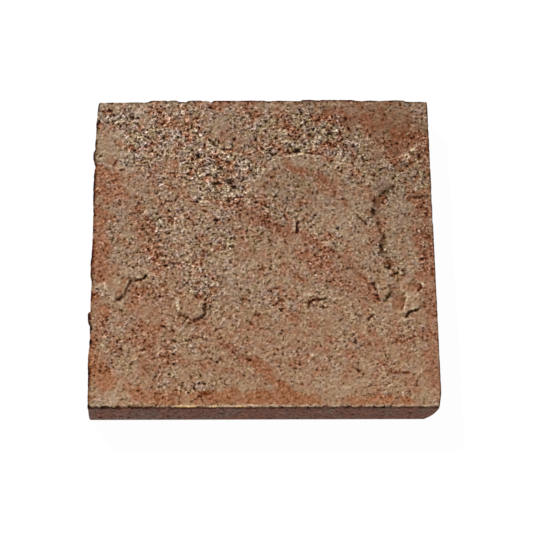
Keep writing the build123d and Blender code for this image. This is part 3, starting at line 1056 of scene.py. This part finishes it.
def cast_stone():
    """Tan cast stone with rust veins, small pits with painted shade, pale grains, painted shade in
    hollows, painted highlights on edges, and dark sides.
    """
    n = Nodes("cast_stone")
    coarse = n.attribute("coarse")
    mottle, fleck = n.noise(*MOTTLE), n.noise(*FLECK)
    colour = with_sides(n, top_colour(n, coarse, mottle, fleck), mottle, fleck)

    large, small = n.grains(*LARGE_GRAIN), n.grains(*SMALL_GRAIN)
    pit = n.above(n.noise(*PIT_SPECK), n.range(coarse, *PIT_LIMIT))
    chip = n.above(n.noise(*CHIP_SPECK), n.range(coarse, *CHIP_LIMIT))
    tone = n.sum(n.times(large, LARGE_GRAIN_TONE), n.times(small, SMALL_GRAIN_TONE))
    tone = n.times(tone, n.range(coarse, *TONE_BY_COARSENESS))
    tone = n.times(tone, n.range(n.attribute("side"), *TONE_ON_SIDES))
    # Painted shade in the small pits
    tone = n.sum(tone, n.times(pit, n.range(coarse, *PIT_TONE)))
    tone = n.sum(tone, n.times(chip, n.range(coarse, *CHIP_TONE)))
    # The dark attribute is mostly painted shade in cracks, along ledges, under flakes and in pits
    tone = n.sum(tone, n.times(n.attribute("dark"), DARK_TONE))

    height = n.sum(n.times(large, LARGE_GRAIN_HEIGHT), n.times(small, SMALL_GRAIN_HEIGHT))
    height = n.times(height, n.range(coarse, *HEIGHT_BY_COARSENESS))
    height = n.sum(height, n.times(n.less(chip, pit), SPECK_HEIGHT))
    bump = n.add("ShaderNodeBump", {"Height": height, "Strength": 1.0, "Distance": MM})
    return n.surface({
        "Base Color": n.toned(colour, tone),
        "Roughness": n.range(fleck, *ROUGHNESS),
        "Specular IOR Level": SPECULAR,
        "Normal": bump.outputs["Normal"],
    })


def pale_floor():
    """A plain pale floor that takes only a faint shadow."""
    bm = bmesh.new()
    bmesh.ops.create_grid(bm, x_segments=1, y_segments=1, size=FLOOR_HALF_WIDTH)
    bmesh.ops.translate(bm, vec=(0, 0, -FLOOR_GAP), verts=bm.verts)
    mesh = mesh_of(bm, "floor")
    mesh.materials.append(Nodes("pale_floor").surface({
        "Base Color": FLOOR_COLOUR,
        "Roughness": 1.0,
        "Specular IOR Level": 0.0,
        "Emission Color": WHITE,
        "Emission Strength": FLOOR_GLOW,
    }))
    return placed("floor", mesh)


def toward(azimuth, elevation):
    """The direction out from the slab at this azimuth, where 0 is the front, and elevation."""
    flat = math.cos(elevation)
    return Vector((math.sin(azimuth) * flat, -math.cos(azimuth) * flat, math.sin(elevation)))


def lights():
    """The key light and the pale room."""
    key = bpy.data.lights.new("key", "SUN")
    key.energy = KEY_STRENGTH
    key.angle = KEY_SOFTNESS
    away = toward(math.pi - KEY_AZIMUTH, KEY_ELEVATION)
    placed("key", key).rotation_euler = away.to_track_quat("Z", "Y").to_euler()
    world = bpy.data.worlds.new("room")
    world.use_nodes = True
    background = world.node_tree.nodes["Background"]
    background.inputs["Color"].default_value = WHITE
    background.inputs["Strength"].default_value = ROOM_STRENGTH
    bpy.context.scene.world = world


def camera():
    """The camera at the photograph's angle."""
    back = toward(CAMERA_AZIMUTH, CAMERA_ELEVATION)
    right = Vector((math.cos(CAMERA_AZIMUTH), math.sin(CAMERA_AZIMUTH), 0))
    up = back.cross(right)
    turned_right = right * math.cos(CAMERA_ROLL) + up * math.sin(CAMERA_ROLL)
    turned_up = up * math.cos(CAMERA_ROLL) - right * math.sin(CAMERA_ROLL)
    data = bpy.data.cameras.new("camera")
    data.sensor_width = SENSOR_WIDTH
    data.lens = CAMERA_LENS
    eye = placed("camera", data)
    turn = Matrix((turned_right, turned_up, back)).transposed().to_4x4()
    eye.matrix_world = Matrix.Translation(CAMERA_AIM + back * CAMERA_DISTANCE) @ turn
    bpy.context.scene.camera = eye


slab = hearth_slab()
slab.data.materials.append(cast_stone())
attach(slab, "root")
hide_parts("hearth_slab")
pale_floor()
lights()
camera()
bpy.context.scene.view_settings.view_transform = "Standard"
